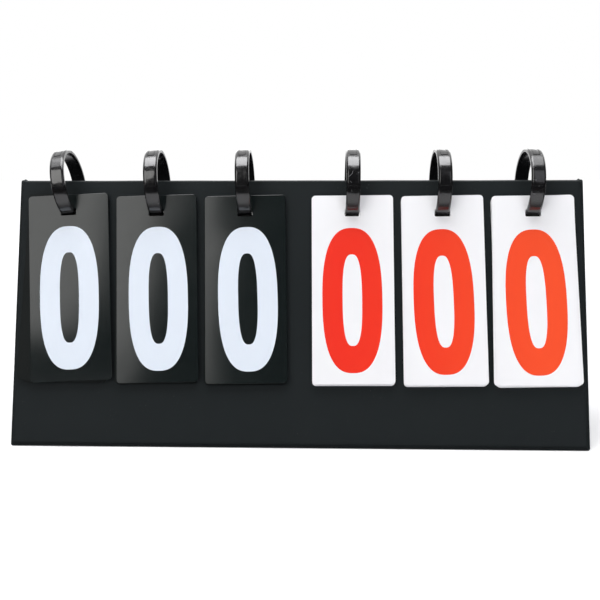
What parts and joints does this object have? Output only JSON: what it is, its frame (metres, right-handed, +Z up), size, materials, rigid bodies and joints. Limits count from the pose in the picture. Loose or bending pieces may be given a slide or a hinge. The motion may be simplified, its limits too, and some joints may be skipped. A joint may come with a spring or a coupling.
{
  "type": "tabletop flip scoreboard",
  "caption": "Tabletop flip scoreboard: A-frame of two vinyl-covered leaves with number cards that flip over on plastic rings, three black and three white sets.",
  "frame": {"origin": "on the table, in the middle of the footprint", "axes": "+X to the right as seen from the front, along the fold; +Y to the rear; +Z up"},
  "size_m": [0.385, 0.1072, 0.1959],
  "materials": {
    "cover_vinyl": "fine-grained soft black vinyl",
    "lining_vinyl": "smooth soft black vinyl",
    "board": "raw grey board",
    "hook_tape": "black hook tape",
    "loop_tape": "black loop tape",
    "ring_plastic": "moulded black plastic, lightly scuffed",
    "black_card": "satin black card with white numbers",
    "white_card": "satin white card with red numbers"
  },
  "bodies": {
    "front_leaf": {"front_skin": "cover_vinyl", "front_board": "board", "front_lining": "lining_vinyl", "hinge_strip": "cover_vinyl", "base_flap": "lining_vinyl", "loop_pads": "loop_tape", "card_stack_1": "black_card", "card_stack_2": "black_card", "card_stack_3": "black_card", "card_stack_4": "white_card", "card_stack_5": "white_card", "card_stack_6": "white_card"},
    "rear_leaf": {"rear_skin": "cover_vinyl", "rear_board": "board", "rear_lining": "lining_vinyl", "hook_pads": "hook_tape"},
    "ring_1": {"ring_1": "ring_plastic"},
    "card_1": {"card_1": "black_card"},
    "ring_2": {"ring_2": "ring_plastic"},
    "card_2": {"card_2": "black_card"},
    "ring_3": {"ring_3": "ring_plastic"},
    "card_3": {"card_3": "black_card"},
    "ring_4": {"ring_4": "ring_plastic"},
    "card_4": {"card_4": "white_card"},
    "ring_5": {"ring_5": "ring_plastic"},
    "card_5": {"card_5": "white_card"},
    "ring_6": {"ring_6": "ring_plastic"},
    "card_6": {"card_6": "white_card"}
  },
  "joints": [
    {"name": "leaf_fold", "type": "hinge", "parent": "front_leaf", "child": "rear_leaf", "pos_m": [0, 0, 0.17182], "axis": [1, 0, 0], "range_deg": [-32, 0], "deforming": ["hinge_strip", "base_flap", "loop_pads"]},
    {"name": "ring_turn_1", "type": "hinge", "parent": "front_leaf", "child": "ring_1", "pos_m": [-0.15989, 0, 0.17163], "axis": [-0.9907, 0, -0.1357], "range_deg": [0, 291.85]},
    {"name": "card_flip_1", "type": "hinge", "parent": "ring_1", "child": "card_1", "pos_m": [-0.15746, -0.01399, 0.15389], "axis": [-0.9704, -0.0666, -0.2323], "range_deg": [0, 36.69]},
    {"name": "ring_turn_2", "type": "hinge", "parent": "front_leaf", "child": "ring_2", "pos_m": [-0.09795, 0, 0.17178], "axis": [-0.9981, 0, -0.061], "range_deg": [0, 291.87]},
    {"name": "card_flip_2", "type": "hinge", "parent": "ring_2", "child": "card_2", "pos_m": [-0.09686, -0.01399, 0.1539], "axis": [-0.9939, -0.0303, -0.1057], "range_deg": [0, 36.25]},
    {"name": "ring_turn_3", "type": "hinge", "parent": "front_leaf", "child": "ring_3", "pos_m": [-0.03705, 0, 0.1718], "axis": [-0.9993, 0, -0.0366], "range_deg": [0, 291.87]},
    {"name": "card_flip_3", "type": "hinge", "parent": "ring_3", "child": "card_3", "pos_m": [-0.0364, -0.01399, 0.15391], "axis": [-0.9978, -0.0182, -0.0636], "range_deg": [0, 36.18]},
    {"name": "ring_turn_4", "type": "hinge", "parent": "front_leaf", "child": "ring_4", "pos_m": [0.03651, 0, 0.17182], "axis": [-0.9999, 0, 0.0105], "range_deg": [0, 291.87]},
    {"name": "card_flip_4", "type": "hinge", "parent": "ring_4", "child": "card_4", "pos_m": [0.03633, -0.01399, 0.15391], "axis": [-0.9998, 0.0052, 0.0182], "range_deg": [0, 36.14]},
    {"name": "ring_turn_5", "type": "hinge", "parent": "front_leaf", "child": "ring_5", "pos_m": [0.09674, 0, 0.17182], "axis": [-1, 0, 0.0017], "range_deg": [0, 291.87]},
    {"name": "card_flip_5", "type": "hinge", "parent": "ring_5", "child": "card_5", "pos_m": [0.0967, -0.01399, 0.15391], "axis": [-1, 0.0009, 0.003], "range_deg": [0, 36.14]},
    {"name": "ring_turn_6", "type": "hinge", "parent": "front_leaf", "child": "ring_6", "pos_m": [0.15735, 0, 0.17181], "axis": [-0.9999, 0, 0.0122], "range_deg": [0, 291.87]},
    {"name": "card_flip_6", "type": "hinge", "parent": "ring_6", "child": "card_6", "pos_m": [0.15713, -0.01399, 0.15391], "axis": [-0.9998, 0.0061, 0.0212], "range_deg": [0, 36.14]}
  ],
  "couplings": [
    {"joint": "card_flip_1", "follows": "ring_turn_1", "ratio": 0.12567},
    {"joint": "card_flip_2", "follows": "ring_turn_2", "ratio": 0.12416},
    {"joint": "card_flip_3", "follows": "ring_turn_3", "ratio": 0.12392},
    {"joint": "card_flip_4", "follows": "ring_turn_4", "ratio": 0.12379},
    {"joint": "card_flip_5", "follows": "ring_turn_5", "ratio": 0.12378},
    {"joint": "card_flip_6", "follows": "ring_turn_6", "ratio": 0.1238}
  ]
}
